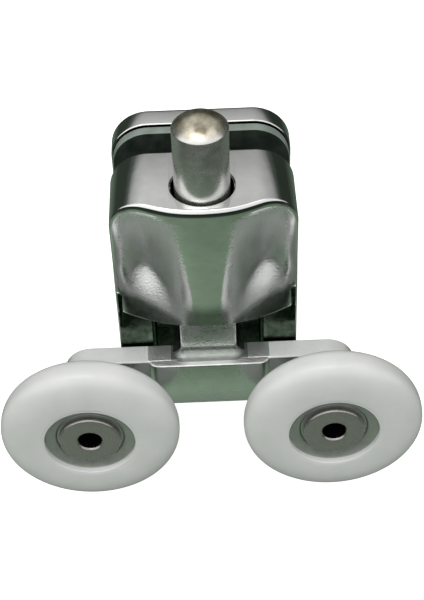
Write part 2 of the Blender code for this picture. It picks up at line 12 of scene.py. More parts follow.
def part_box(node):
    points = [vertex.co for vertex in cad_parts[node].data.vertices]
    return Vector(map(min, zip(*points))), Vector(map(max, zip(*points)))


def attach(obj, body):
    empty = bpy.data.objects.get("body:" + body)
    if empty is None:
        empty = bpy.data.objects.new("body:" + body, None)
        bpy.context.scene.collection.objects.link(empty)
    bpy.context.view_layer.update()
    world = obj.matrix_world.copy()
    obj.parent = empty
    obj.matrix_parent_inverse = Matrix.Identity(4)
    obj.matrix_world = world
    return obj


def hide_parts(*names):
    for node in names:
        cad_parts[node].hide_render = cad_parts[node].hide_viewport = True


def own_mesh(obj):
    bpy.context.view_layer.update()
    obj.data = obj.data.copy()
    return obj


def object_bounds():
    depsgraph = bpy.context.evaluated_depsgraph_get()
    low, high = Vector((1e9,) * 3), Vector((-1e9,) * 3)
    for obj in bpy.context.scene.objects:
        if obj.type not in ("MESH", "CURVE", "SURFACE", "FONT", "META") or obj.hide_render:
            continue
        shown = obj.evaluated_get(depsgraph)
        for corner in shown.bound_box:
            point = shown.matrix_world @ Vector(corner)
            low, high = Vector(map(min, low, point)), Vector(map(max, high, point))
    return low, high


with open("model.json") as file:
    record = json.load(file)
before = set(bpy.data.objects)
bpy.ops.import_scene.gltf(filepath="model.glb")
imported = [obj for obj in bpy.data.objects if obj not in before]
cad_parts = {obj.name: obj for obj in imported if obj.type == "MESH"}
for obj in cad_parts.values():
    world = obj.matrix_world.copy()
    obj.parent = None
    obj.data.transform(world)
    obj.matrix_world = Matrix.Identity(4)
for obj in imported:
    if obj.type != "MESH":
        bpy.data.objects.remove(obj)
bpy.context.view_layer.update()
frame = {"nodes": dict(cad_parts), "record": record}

MM = 0.001
SIDES = ("left", "right")
LEVELS = ("upper", "lower")

# Measures of the CAD that its boxes don't tell
GAP = 0.3 * MM
PLUNGER_TRAVEL = 8.0 * MM
SCREW_HOLE = 1.75 * MM
POST_HOLE = 3.3 * MM
AXLE_HOLE = 2.6 * MM

# Fineness of the meshes
OUTLINE_STEP = 0.22 * MM
FACE_RINGS = 84
TURN_STEPS = 144
SMOOTH_ANGLE = 32.0
ON_AXIS = 1e-6 * MM
SAME_POINT = 1e-4 * MM

# Edges and hollows that the CAD leaves plain
TOP_EDGE = 1.25 * MM
SIDE_EDGE = 1.1 * MM
FRONT_EDGE_DEPTH = 0.5
LOWER_EDGE = 0.22 * MM
PLATE_FRONT_EDGE = 0.22 * MM
PLATE_BACK_EDGE = 0.8 * MM
CAST_EDGE = 0.35 * MM
FILLET = 1.5 * MM

# The two hollows in the front: a lip, and over it a smooth dish that is steeper below than above
LIP_HEIGHT = 4.4 * MM
LIP_START = 3.0 * MM
LIP_SPREAD = 4.0 * MM
LIP_SLOPE = 0.20
LIP_SOFTNESS = 0.6 * MM
HOLLOW_DEPTH = 2.7 * MM
HOLLOW_RISE = 5.3 * MM
HOLLOW_BELOW = 2.35 * MM
HOLLOW_ABOVE = 5.2 * MM
HOLLOW_CENTRE = 7.9 * MM
HOLLOW_INWARDS = 2.2 * MM
HOLLOW_OUTWARDS = 1.9 * MM
HOLLOW_RIM = 11.6 * MM
RIB_HALF = 2.6 * MM
RIB_TOP_FLARE = 0.6 * MM
RIB_FOOT_FLARE = 0.3 * MM


# ---- measures from the frame

def low(node):
    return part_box(node)[0]


def high(node):
    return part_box(node)[1]


def middle(node):
    return (low(node) + high(node)) / 2


# ---- node helpers

# Sockets of the Mix node for colours, whose names also stand for its numbers
MIX_FIRST = 6
MIX_SECOND = 7
MIX_RESULT = 2


class Nodes:
    """Small builder for a node tree."""

    def __init__(self, tree):
        self.tree = tree
        self.place = tree.nodes.new("ShaderNodeTexCoord")

    def node(self, kind, **values):
        made = self.tree.nodes.new(kind)
        for key, value in values.items():
            if key in made.inputs:
                made.inputs[key].default_value = value
            else:
                setattr(made, key, value)
        return made

    def link(self, source, target):
        self.tree.links.new(source, target)

    def between(self, factor, first, second, low_in=0.3, high_in=0.7, course="SMOOTHSTEP"):
        """A number that runs from first to second as the factor goes from low_in to high_in."""
        made = self.node("ShaderNodeMapRange", interpolation_type=course)
        for key, value in zip(("From Min", "From Max", "To Min", "To Max"), (low_in, high_in, first, second)):
            made.inputs[key].default_value = value
        self.link(factor, made.inputs["Value"])
        return made.outputs["Result"]

    def colors(self, factor, *stops):
        """A colour ramp through (position, colour) stops."""
        made = self.node("ShaderNodeValToRGB")
        ramp = made.color_ramp
        while len(ramp.elements) < len(stops):
            ramp.elements.new(0.5)
        for element, (position, color) in zip(ramp.elements, stops):
            element.position = position
            element.color = (*color, 1.0)
        self.link(factor, made.inputs["Fac"])
        return made.outputs["Color"]

    def mixed(self, factor, first, second):
        """The first colour at factor 0 and the second at 1."""
        made = self.node("ShaderNodeMix", data_type="RGBA")
        self.link(factor, made.inputs["Factor"])
        self.link(first, made.inputs[MIX_FIRST])
        self.link(second, made.inputs[MIX_SECOND])
        return made.outputs[MIX_RESULT]


class Shading(Nodes):
    """Builder for a Principled material whose detail comes from object coordinates."""

    def __init__(self, name, color, roughness, metallic=0.0):
        self.material = bpy.data.materials.new(name)
        self.material.use_nodes = True
        super().__init__(self.material.node_tree)
        self.shader = self.tree.nodes["Principled BSDF"]
        self.shader.inputs["Base Color"].default_value = (*color, 1.0)
        self.shader.inputs["Roughness"].default_value = roughness
        self.shader.inputs["Metallic"].default_value = metallic

    def stretched(self, scale):
        """Object coordinates, scaled separately along each axis."""
        mapping = self.node("ShaderNodeMapping", Scale=scale)
        self.link(self.place.outputs["Object"], mapping.inputs["Vector"])
        return mapping.outputs["Vector"]

    def noise(self, size, detail=3.0, roughness=0.55, vector=None):
        """Noise with features of about the given size in metres."""
        made = self.node("ShaderNodeTexNoise", Scale=1.0 / size, Detail=detail, Roughness=roughness)
        self.link(vector or self.place.outputs["Object"], made.inputs["Vector"])
        return made.outputs["Fac"]

    def math(self, operation, first, second):
        made = self.node("ShaderNodeMath", operation=operation)
        for socket, value in zip(made.inputs, (first, second)):
            if isinstance(value, (int, float)):
                socket.default_value = value
            else:
                self.link(value, socket)
        return made.outputs["Value"]

    def bump(self, height, distance, strength=1.0):
        """Relief of the given depth in metres, stacked on any earlier bump."""
        made = self.node("ShaderNodeBump", Strength=strength, Distance=distance)
        self.link(height, made.inputs["Height"])
        earlier = self.shader.inputs["Normal"].links
        if earlier:
            self.link(earlier[0].from_socket, made.inputs["Normal"])
        self.link(made.outputs["Normal"], self.shader.inputs["Normal"])

    def set(self, name, source):
        self.link(source, self.shader.inputs[name])

    def attribute(self, name):
        return self.node("ShaderNodeAttribute", attribute_name=name).outputs["Fac"]


def chrome_material():
    """Plated casting: mirror bright outside, satin with a sparkle in the hollows, and a dark green painted
    shade in recesses and hollows.

    The blasted mask marks upper faces that were left matt, and satin above 1 is rougher still.
    """
    shade = Shading("bright_chrome", (0.82, 0.83, 0.83), 0.10, 1.0)
    satin = shade.attribute("satin")
    painted_shade = shade.attribute("painted_shade")
    blasted = shade.attribute("blasted")
    cloud = shade.noise(2.6 * MM, 4.0)
    bright = shade.colors(cloud, (0.25, (0.76, 0.78, 0.77)), (0.75, (0.86, 0.86, 0.86)))
    # Dark green colour of the painted shade in recesses, under parts and in the hollows
    deep_shade = shade.colors(shade.noise(0.8 * MM, 4.0), (0.3, (0.045, 0.065, 0.045)), (0.7, (0.12, 0.16, 0.12)))
    shade.set("Base Color", shade.mixed(painted_shade, bright, deep_shade))
    polished = shade.between(shade.noise(1.4 * MM, 5.0), 0.045, 0.11)
    shade.set("Roughness", shade.math("ADD", polished, shade.math("MULTIPLY", satin, 0.26)))
    shade.set("Metallic", shade.between(blasted, 1.0, 0.1, 0.0, 1.0))
    grain = shade.noise(0.26 * MM, 2.0)
    shade.bump(shade.math("MULTIPLY", grain, shade.math("MINIMUM", satin, 1.0)), 0.070 * MM)
    shade.bump(shade.noise(3.5 * MM, 2.0), 0.025 * MM)
    return shade.material


def steel_material(name, color, rough_low, rough_high, grain=0.12 * MM, depth=0.004 * MM, metallic=1.0):
    """Turned or ground steel with fine marks and cloudy wear, and a near-black painted shade where a hole is
    marked.
    """
    shade = Shading(name, color, (rough_low + rough_high) / 2, metallic)
    cloud = shade.noise(1.1 * MM, 5.0)
    dark = tuple(0.86 * value for value in color)
    clean = shade.colors(cloud, (0.3, dark), (0.7, color))
    # Near-black colour of the painted shade
    shade_tone = shade.colors(cloud, (0.3, (0.006, 0.005, 0.005)), (0.7, (0.02, 0.018, 0.017)))
    shade.set("Base Color", shade.mixed(shade.attribute("painted_shade"), clean, shade_tone))
    shade.set("Roughness", shade.between(cloud, rough_low, rough_high))
    shade.bump(shade.noise(grain, 3.0), depth)
    return shade.material


def pin_material():
    """Ground steel pin, with faint rings from turning and a warm brown reflection painted on its dome."""
    shade = Shading("satin_steel_pin", (0.72, 0.70, 0.68), 0.2, 0.92)
    blotch = shade.noise(1.6 * MM, 4.0)
    steel = shade.colors(blotch, (0.2, (0.72, 0.71, 0.69)), (0.8, (0.84, 0.83, 0.81)))
    painted_dome_reflection = shade.colors(blotch, (0.35, (0.42, 0.36, 0.27)), (0.65, (0.74, 0.71, 0.58)))
    shade.set("Base Color", shade.mixed(shade.attribute("painted_dome_reflection"), steel, painted_dome_reflection))
    shade.set("Roughness", shade.between(blotch, 0.20, 0.30))
    rings = shade.noise(0.25 * MM, 3.0, vector=shade.stretched((0.12, 0.12, 1.0)))
    shade.bump(rings, 0.003 * MM)
    shade.bump(shade.noise(0.3 * MM, 1.0), 0.004 * MM)
    return shade.material


def nylon_material():
    """White moulded nylon: slightly translucent, soft gloss, faint flow clouds and handling scuffs."""
    shade = Shading("white_nylon", (0.66, 0.67, 0.66), 0.34)
    cloud = shade.noise(4.0 * MM, 4.0)
    shade.set("Base Color", shade.colors(cloud, (0.3, (0.76, 0.77, 0.76)), (0.7, (0.82, 0.82, 0.815))))
    shade.set("Roughness", shade.between(shade.noise(2.5 * MM, 4.0), 0.14, 0.22))
    shade.shader.inputs["Subsurface Weight"].default_value = 0.25
    shade.shader.inputs["Subsurface Radius"].default_value = (1.0, 1.0, 0.95)
    shade.shader.inputs["Subsurface Scale"].default_value = 0.8 * MM
    shade.bump(shade.noise(0.35 * MM, 3.0), 0.002 * MM)
    shade.bump(shade.noise(6.0 * MM, 2.0), 0.04 * MM)
    return shade.material


def gasket_material():
    """Clear-grey sheet: the broad faces are painted near black as shade in the slot, and the cut edges keep
    the sheet's grey.
    """
    shade = Shading("grey_gasket", (0.30, 0.34, 0.31), 0.4)
    edge = shade.attribute("cut_edge")
    cloud = shade.noise(1.8 * MM, 4.0)
    rim = shade.colors(cloud, (0.3, (0.22, 0.27, 0.23)), (0.7, (0.31, 0.36, 0.32)))
    # Near-black painted shade on the broad faces
    shaded_face = shade.colors(cloud, (0.3, (0.012, 0.018, 0.013)), (0.7, (0.03, 0.04, 0.032)))
    shade.set("Base Color", shade.mixed(edge, shaded_face, rim))
    shade.set("Roughness", shade.between(cloud, 0.30, 0.46))
    shade.bump(shade.noise(0.18 * MM, 3.0), 0.010 * MM)
    return shade.material


def plastic_material(name, color):
    """Plain moulded plastic with a fine grain."""
    shade = Shading(name, color, 0.42)
    cloud = shade.noise(1.2 * MM, 4.0)
    dark = tuple(0.88 * value for value in color)
    shade.set("Base Color", shade.colors(cloud, (0.3, dark), (0.7, color)))
    shade.set("Roughness", shade.between(cloud, 0.34, 0.5))
    shade.bump(shade.noise(0.15 * MM, 2.0), 0.006 * MM)
    return shade.material


def make_materials():
    return {
        "chrome_casting": chrome_material(),
        "satin_steel": steel_material("satin_steel", (0.44, 0.41, 0.41), 0.20, 0.32, metallic=0.8),
        "pin": pin_material(),
        "spring_steel": steel_material("spring_steel", (0.42, 0.42, 0.43), 0.25, 0.40),
        "bearing_steel": steel_material("bearing_steel", (0.43, 0.46, 0.42), 0.28, 0.42, metallic=0.6),
        "zinc_steel": steel_material("zinc_steel", (0.60, 0.61, 0.62), 0.24, 0.42, 0.2 * MM, 0.008 * MM),
        "brass": steel_material("turned_brass", (0.72, 0.58, 0.30), 0.24, 0.40),
        "white_nylon": nylon_material(),
        "cage_nylon": plastic_material("cage_nylon", (0.55, 0.50, 0.40)),
        "sleeve_plastic": plastic_material("sleeve_plastic", (0.72, 0.74, 0.72)),
        "gasket_rubber": gasket_material(),
    }


# ---- mesh helpers

def new_object(name, mesh, material):
    mesh.materials.append(material)
    made = bpy.data.objects.new(name, mesh)
    bpy.context.scene.collection.objects.link(made)
    return made


def mesh_object(name, points, faces, material):
    mesh = bpy.data.meshes.new(name)
    mesh.from_pydata([tuple(point) for point in points], [], faces)
    mesh.validate()
    made = new_object(name, mesh, material)
    finish_shading(made)
    return made


def worked_object(name, work, material):
    """Object from a bmesh, which is freed."""
    mesh = bpy.data.meshes.new(name)
    work.to_mesh(mesh)
    work.free()
    return new_object(name, mesh, material)


def finish_shading(made):
    made.data.shade_smooth()
    made.data.set_sharp_from_angle(angle=math.radians(SMOOTH_ANGLE))


def skin(rings, count):
    """Faces between neighbouring rings of count points each."""
    faces = []
    for ring in range(rings - 1):
        start = ring * count
        for index in range(count):
            after = (index + 1) % count
            faces.append((start + index, start + after, start + count + after, start + count + index))
    return faces


def stacked(name, rings, material):
    """Skin through closed rings of equal length, with a flat cap at either end."""
    count = len(rings[0])
    points = [point for ring in rings for point in ring]
    last = len(points) - count
    faces = skin(len(rings), count)
    faces.append(tuple(reversed(range(count))))
    faces.append(tuple(range(last, last + count)))
    return mesh_object(name, points, faces, material)


def turn_outwards(work):
    bmesh.ops.recalc_face_normals(work, faces=work.faces)
    if work.calc_volume(signed=True) < 0:
        bmesh.ops.reverse_faces(work, faces=work.faces)


def face_outwards(made):
    """Make a closed mesh's faces point out."""
    work = bmesh.new()
    work.from_mesh(made.data)
    bmesh.ops.remove_doubles(work, verts=work.verts, dist=SAME_POINT)
    turn_outwards(work)
    work.to_mesh(made.data)
    work.free()
    finish_shading(made)
    return made


def turned(name, profile, centre, direction, material, steps=TURN_STEPS, closed=False):
    """Solid of revolution. Profile points are (radius, distance along the direction from the centre).

    An open profile starts and ends on the axis, and a closed one makes a ring.
    """
    along = Vector(direction).normalized()
    side = along.orthogonal().normalized()
    across = along.cross(side)
    start = Vector(centre)
    work = bmesh.new()
    rows = []
    for radius, distance in profile:
        if radius < ON_AXIS:
            rows.append([work.verts.new(start + along * distance)])
            continue
        row = []
        for step in range(steps):
            angle = math.tau * step / steps
            spoke = side * math.cos(angle) + across * math.sin(angle)
            row.append(work.verts.new(start + along * distance + spoke * radius))
        rows.append(row)
    pairs = list(zip(rows, rows[1:]))
    if closed:
        pairs.append((rows[-1], rows[0]))
    for first, second in pairs:
        for step in range(steps):
            after = (step + 1) % steps
            corners = [first[step % len(first)], first[after % len(first)]]
            corners += [second[after % len(second)], second[step % len(second)]]
            unique = list(dict.fromkeys(corners))
            if len(unique) > 2:
                work.faces.new(unique)
    turn_outwards(work)
    made = worked_object(name, work, material)
    finish_shading(made)
    return made


def arc(centre, radius, start, end, steps):
    """Points on an arc, both ends included, angles in degrees."""
    points = []
    for step in range(steps + 1):
        angle = math.radians(start + (end - start) * step / steps)
        points.append((centre[0] + radius * math.cos(angle), centre[1] + radius * math.sin(angle)))
    return points


def rounded(profile, radius, steps=5):
    """The same open outline with each inner corner rounded by up to the given radius."""
    points = [profile[0]]
    for before, corner, after in zip(profile, profile[1:], profile[2:]):
        corner_v = np.array(corner)
        back = np.array(before) - corner_v
        ahead = np.array(after) - corner_v
        reach = min(radius, 0.45 * np.linalg.norm(back), 0.45 * np.linalg.norm(ahead))
        start = corner_v + back / np.linalg.norm(back) * reach
        end = corner_v + ahead / np.linalg.norm(ahead) * reach
        for step in range(steps + 1):
            t = step / steps
            points.append(tuple((1 - t) ** 2 * start + 2 * t * (1 - t) * corner_v + t * t * end))
    points.append(profile[-1])
    return points


def ring_piece(name, inner, outer, start, end, centre, edge, material):
    """Turned ring about +Y with softened edges, between two distances from the centre."""
    profile = [(inner, (start + end) / 2), (inner, start), (outer, start), (outer, end), (inner, end)]
    profile.append((inner, (start + end) / 2))
    return turned(name, rounded(profile, edge)[:-1], centre, (0, 1, 0), material, closed=True)


def resampled(points, step):
    """Closed outline with points evenly spaced along it."""
    points = np.array(points)
    loop = np.vstack([points, points[:1]])
    lengths = np.linalg.norm(np.diff(loop, axis=0), axis=1)
    travelled = np.concatenate([[0.0], np.cumsum(lengths)])
    count = int(travelled[-1] / step)
    wanted = np.arange(count) * travelled[-1] / count
    return np.stack([np.interp(wanted, travelled, loop[:, axis]) for axis in (0, 1)], 1)


def outward_normals(outline):
    """Unit normals of a counter-clockwise outline."""
    ahead = np.roll(outline, -1, 0) - np.roll(outline, 1, 0)
    normals = np.stack([ahead[:, 1], -ahead[:, 0]], 1)
    return normals / np.linalg.norm(normals, axis=1, keepdims=True)


def rounded_box_outline(x_low, x_high, z_low, z_high, corners):
    """Counter-clockwise outline; corners are the radii at bottom right, top right, top left, bottom left."""
    bottom_right, top_right, top_left, bottom_left = corners
    points = arc((x_high - bottom_right, z_low + bottom_right), bottom_right, 270, 360, 24)
    points += arc((x_high - top_right, z_high - top_right), top_right, 0, 90, 24)
    points += arc((x_low + top_left, z_high - top_left), top_left, 90, 180, 24)
    points += arc((x_low + bottom_left, z_low + bottom_left), bottom_left, 180, 270, 24)
    return points


def slab(
    name, outline, front, back, front_edge, back_edge, material,
    step=OUTLINE_STEP, relief=None, rings=1, edge_depth=1.0,
):
    """Upright plate from an XZ outline, rounded over at its front (-Y) and back edges.

    relief(x, z) moves the front face backwards, and the edges may be a radius for each outline point.
    edge_depth is the front edge's depth as a share of its radius.
    """
    outline = resampled(outline, step)
    normals = outward_normals(outline)
    centre = outline.mean(0)
    front_edge = np.broadcast_to(np.asarray(front_edge, float), (len(outline),))[:, None]
    back_edge = np.broadcast_to(np.asarray(back_edge, float), (len(outline),))[:, None]

    def depth_at(points):
        shift = relief(points[:, 0], points[:, 1]) if relief else np.zeros(len(points))
        return (front + shift)[:, None]

    loops = []
    turns = np.radians(np.linspace(0, 90, 7))
    for angle in turns[::-1]:
        flat = outline - normals * back_edge * (1 - math.cos(angle))
        depth = back - back_edge * (1 - math.sin(angle))
        loops.append(np.hstack([flat[:, :1], depth, flat[:, 1:]]))
    inset_front = outline - normals * front_edge
    face_depth = depth_at(inset_front)
    for angle in turns:
        flat = outline - normals * front_edge * (1 - math.cos(angle))
        depth = face_depth + edge_depth * front_edge * (1 - math.sin(angle))
        loops.append(np.hstack([flat[:, :1], depth, flat[:, 1:]]))
    for ring in range(1, rings):
        share = 1 - ring / rings
        flat = centre + (inset_front - centre) * share
        loops.append(np.hstack([flat[:, :1], depth_at(flat), flat[:, 1:]]))
    count = len(outline)
    points = np.vstack(loops)
    faces = skin(len(loops), count)
    faces.append(tuple(range(count)))
    last = (len(loops) - 1) * count
    if rings > 1:
        points = np.vstack([points, np.hstack([centre[:1], depth_at(centre[None])[0], centre[1:]])[None]])
        tip = len(points) - 1
        faces += [(last + index, last + (index + 1) % count, tip) for index in range(count)]
    else:
        faces.append(tuple(range(last, last + count)))
    return face_outwards(mesh_object(name, points, faces, material))


def combine(target, tool, operation):
    """Boolean of two closed meshes, which uses the tool up."""
    modifier = target.modifiers.new(tool.name, "BOOLEAN")
    modifier.operation = operation
    modifier.solver = "EXACT"
    modifier.object = tool
    bpy.context.view_layer.update()
    evaluated = target.evaluated_get(bpy.context.evaluated_depsgraph_get())
    old = target.data
    mesh = bpy.data.meshes.new_from_object(evaluated)
    target.modifiers.clear()
    target.data = mesh
    bpy.data.meshes.remove(old)
    finish_shading(target)
    bpy.data.objects.remove(tool, do_unlink=True)


def cut(target, tool):
    combine(target, tool, "DIFFERENCE")


def join(target, tool):
    combine(target, tool, "UNION")


def block(name, corner, opposite, material):
    work = bmesh.new()
    bmesh.ops.create_cube(work, size=1.0)
    size = [abs(b - a) for a, b in zip(corner, opposite)]
    bmesh.ops.scale(work, vec=size, verts=work.verts)
    bmesh.ops.translate(work, vec=[(a + b) / 2 for a, b in zip(corner, opposite)], verts=work.verts)
    return worked_object(name, work, material)


def drill(target, radius, start, end, centre, material, steps=64):
    """Cut a round hole along +Y between two depths, through the centre's x and z."""
    profile = [(0.0, start), (radius, start), (radius, end), (0.0, end)]
    cut(target, turned("drill", profile, (centre.x, 0.0, centre.z), (0, 1, 0), material, steps=steps))


def place(made, body, *nodes, slot):
    """Ride on a body and stand for the CAD nodes."""
    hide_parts(*nodes)
    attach(made, body)


# ---- housing

HOUSING_LOW = low("housing")
HOUSING_HIGH = high("housing")
HALF_WIDTH = HOUSING_HIGH.x
TOP = HOUSING_HIGH.z
CORNER = 5.5 * MM
FRONT_RADIUS = 22.0 * MM
FRONT_LOWER_EDGE = high("carriage").z + GAP
REAR_BLOCK_FRONT = HOUSING_LOW.y + 3.5 * MM
FRONT_FACE_BACK = REAR_BLOCK_FRONT + 3.0 * MM
PIN_PLACE = middle("push_pin")
PIN_AXIS = (PIN_PLACE.x, PIN_PLACE.y, 0.0)
BORE_RADIUS = 4.25 * MM
CHANNEL_HALF = 8.0 * MM


def front_curve(x):
    """How far the convex front lies behind its foremost line."""
    return FRONT_RADIUS - np.sqrt(FRONT_RADIUS**2 - np.clip(np.abs(x), 0, HALF_WIDTH) ** 2)


def smooth(value):
    """0 below 0, 1 above 1, and a soft rise between them."""
    value = np.clip(value, 0.0, 1.0)
    return value * value * (3 - 2 * value)


def above_zero(value, softness):
    """The value where it is positive and zero elsewhere, with the corner rounded off."""
    return softness * np.logaddexp(0.0, value / softness)


def rib_half(z):
    """Half width of the rib between the hollows, which flares towards the top and the foot."""
    top = RIB_TOP_FLARE * smooth((z - 4 * MM) / (12 * MM))
    foot = RIB_FOOT_FLARE * smooth((2 * MM - z) / (4 * MM))
    return RIB_HALF + top + foot


def bell(offset, below, above):
    """Smooth hump of height 1, with a width of its own on each side."""
    return np.exp(-0.5 * (offset / np.where(offset < 0, below, above)) ** 2)


def lip_height(across):
    """Height of the lip below the hollows, which grows outwards from the rib."""
    return LIP_HEIGHT * (1 - np.exp(-above_zero(across - LIP_START, 0.4 * MM) / LIP_SPREAD))


def on_lip(across, z):
    """1 on the lip below the hollows, fading out above it."""
    rise = (z - FRONT_LOWER_EDGE - lip_height(across)) / (2.0 * MM)
    return smooth((across - LIP_START) / MM) * smooth(0.5 - rise) * smooth((HOLLOW_RIM - across) / MM + 0.5)


def hollow(x, z):
    """Depth of the two mirrored hollows pressed into the front, each above a lip that leans back."""
    across = np.abs(x)
    up = z - FRONT_LOWER_EDGE
    over_lip = up - lip_height(across)
    dish = bell(over_lip - HOLLOW_RISE, HOLLOW_BELOW, HOLLOW_ABOVE)
    dish = dish * bell(across - HOLLOW_CENTRE, HOLLOW_INWARDS, HOLLOW_OUTWARDS)
    beside_rib = smooth((across - RIB_HALF) / (3.0 * MM))
    inside_rim = smooth((HOLLOW_RIM + LIP_SOFTNESS - across) / (2.6 * MM))
    lean = LIP_SLOPE * (up - above_zero(over_lip - 0.8 * MM, LIP_SOFTNESS))
    fading = bell(np.maximum(over_lip - 1.5 * MM, 0.0), MM, 6.0 * MM)
    return HOLLOW_DEPTH * dish + lean * (beside_rib * inside_rim) * fading


def front_relief(x, z):
    """How far the front face lies behind its foremost line."""
    return front_curve(x) + hollow(x, z)


def front_edge_radii(outline):
    """Edge radius for each point of the front's outline: small below, softer at the sides and on top."""
    points = resampled(outline, OUTLINE_STEP)
    upwards = np.clip(outward_normals(points)[:, 1], 0, 1) ** 2
    above = smooth((points[:, 1] - FRONT_LOWER_EDGE - 0.4 * MM) / (4.0 * MM))
    side = LOWER_EDGE + (SIDE_EDGE - LOWER_EDGE) * above
    return TOP_EDGE * upwards + side * (1 - upwards)


def mark(made, name, value, domain="POINT"):
    """Store a finish mask: value(places, normals) at each point or each face."""
    parts = made.data.vertices if domain == "POINT" else made.data.polygons
    places = np.array([part.co if domain == "POINT" else part.center for part in parts])
    normals = np.array([part.normal for part in parts])
    attribute = made.data.attributes.new(name, "FLOAT", domain)
    attribute.data.foreach_set("value", value(places, normals).astype(np.float32))


def housing_satin(points, normals):
    """Satin over the hollows and the lower end of the rib, polished along the middle and the edges."""
    across = np.abs(points[:, 0])
    height = points[:, 2]
    rim = 0.8 * MM
    foot = 5.5 * MM
    beside_rib = smooth((across - rib_half(height) + rim) / (2.2 * MM))
    lower = 0.6 * smooth((FRONT_LOWER_EDGE + foot - height) / foot)
    off_edge = smooth((HALF_WIDTH - rim - across) / (1.4 * MM))
    off_top = smooth((TOP - TOP_EDGE - height) / (1.2 * MM))
    on_front = points[:, 1] < FRONT_FACE_BACK
    finish = np.maximum(beside_rib, lower) * off_edge * off_top
    return np.where(on_front, finish * (1 - 0.6 * on_lip(across, height)), 0.0)


def housing_painted_shade(centres, normals):
    """Painted shade: the bore, the channel and the block behind are painted dark, and the front is painted
    darker at the rib's foot, over the lips and in the upper hollows.
    """
    across = np.abs(centres[:, 0])
    height = centres[:, 2]
    below = height < FRONT_LOWER_EDGE - 0.01 * MM
    forwards = (normals[:, 1] < -0.9) & (centres[:, 1] < HOUSING_HIGH.y - MM)
    in_channel = across < CHANNEL_HALF + 0.2 * MM
    in_bore = np.hypot(across, centres[:, 1] - PIN_PLACE.y) < BORE_RADIUS + 0.15 * MM
    deep_shade = (below & (forwards | in_channel)) | (in_bore & (height < TOP - MM))
    on_front = (centres[:, 1] < FRONT_FACE_BACK) & (normals[:, 1] < -0.3) & ~below
    low_down = smooth((FRONT_LOWER_EDGE + 4.6 * MM - height) / (2.6 * MM))
    foot = 0.75 * low_down * smooth((3.6 * MM - across) / MM)
    in_hollow = smooth((across - rib_half(height)) / (2.0 * MM)) * smooth((HOLLOW_RIM - across) / (2.0 * MM))
    hollow_shade = 0.22 * in_hollow * smooth((TOP - 3.0 * MM - height) / (6.0 * MM))
    # Painted shade on the front: at the rib's foot, in the hollows and over the lips
    front_shade = np.maximum(np.maximum(foot, hollow_shade), 0.85 * on_lip(across, height))
    return np.where(deep_shade, 1.0, np.where(on_front, front_shade, 0.0))


def make_housing(chrome):
    front = HOUSING_LOW.y
    back = HOUSING_HIGH.y
    upper_outline = rounded_box_outline(
        -HALF_WIDTH, HALF_WIDTH, FRONT_LOWER_EDGE, TOP, (0.3 * MM, CORNER, CORNER, 0.3 * MM)
    )
    edges = front_edge_radii(upper_outline)
    housing = slab(
        "housing_shell", upper_outline, front, back, edges, 0.45 * MM, chrome,
        relief=front_relief, rings=FACE_RINGS, edge_depth=FRONT_EDGE_DEPTH,
    )
    sliver = 0.02 * MM
    rear_outline = rounded_box_outline(
        -HALF_WIDTH + sliver, HALF_WIDTH - sliver, HOUSING_LOW.z, FRONT_LOWER_EDGE + 4 * MM,
        (CORNER, 0.5 * MM, 0.5 * MM, CORNER),
    )
    rear = slab("rear_block", rear_outline, REAR_BLOCK_FRONT, back - sliver, 0.3 * MM, 0.3 * MM, chrome)
    channel = block(
        "channel",
        (-CHANNEL_HALF, REAR_BLOCK_FRONT - 2 * MM, HOUSING_LOW.z - MM),
        (CHANNEL_HALF, high("carriage").y + GAP, FRONT_LOWER_EDGE),
        chrome,
    )
    cut(rear, channel)
    join(housing, rear)

    bore_floor = low("return_spring").z - GAP
    chamfer = 0.22 * MM
    rim = 1.0 * MM
    bore_profile = [
        (0.0, TOP + rim),
        (BORE_RADIUS + chamfer + rim, TOP + rim),
        (BORE_RADIUS, TOP - chamfer),
        (BORE_RADIUS, bore_floor),
        (2.6 * MM, bore_floor),
        (2.6 * MM, FRONT_LOWER_EDGE - rim),
        (0.0, FRONT_LOWER_EDGE - rim),
    ]
    cut(housing, turned("bore", bore_profile, PIN_AXIS, (0, 0, 1), chrome, steps=96))

    pocket_low = low("front_gasket")
    pocket_high = high("front_gasket")
    pocket_outline = rounded_box_outline(
        pocket_low.x - GAP, pocket_high.x + GAP, pocket_low.z - GAP, pocket_high.z + GAP, (4.3 * MM,) * 4
    )
    pocket = slab(
        "pocket", pocket_outline, pocket_low.y - GAP, back + MM, 0.05 * MM, 0.05 * MM, chrome,
        step=0.6 * MM,
    )
    cut(housing, pocket)
    for level in LEVELS:
        post = middle(level + "_threaded_post")
        start = low(level + "_threaded_post").y - GAP
        drill(housing, POST_HOLE, start, back, post, chrome, steps=48)
    mark(housing, "satin", housing_satin)
    # Painted shade: dark green where shade falls in the bore, the channel, behind and low on the front
    mark(housing, "painted_shade", housing_painted_shade, "FACE")
    place(housing, "frame", "housing", slot="chrome_casting")


# ---- glass clamp

def make_plate(chrome):
    start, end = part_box("clamp_plate")
    outline = rounded_box_outline(start.x, end.x, start.z, end.z, (CORNER,) * 4)
    plate = slab("clamp_plate_shell", outline, start.y, end.y, PLATE_FRONT_EDGE, PLATE_BACK_EDGE, chrome)
    for level in LEVELS:
        head = high(level + "_clamp_screw").x + GAP
        shank = 2.25 * MM
        rim = 0.15 * MM
        profile = [
            (0.0, end.y + MM),
            (head + rim + MM, end.y + MM),
            (head, end.y - rim),
            (shank, end.y - rim - (head - shank)),
            (shank, start.y - MM),
            (0.0, start.y - MM),
        ]
        centre = (0.0, 0.0, middle(level + "_clamp_screw").z)
        cut(plate, turned("countersink", profile, centre, (0, 1, 0), chrome, steps=72))
    # Painted shade: the plate's front face in the glass slot is painted dark green
    mark(plate, "painted_shade", lambda centres, normals: (normals[:, 1] < -0.95).astype(float), "FACE")
    place(plate, "frame", "clamp_plate", slot="chrome_casting")


def cut_edge(centres, normals):
    """1 on the rim of a sheet and 0 on its broad faces."""
    return (np.abs(normals[:, 1]) < 0.8).astype(float)


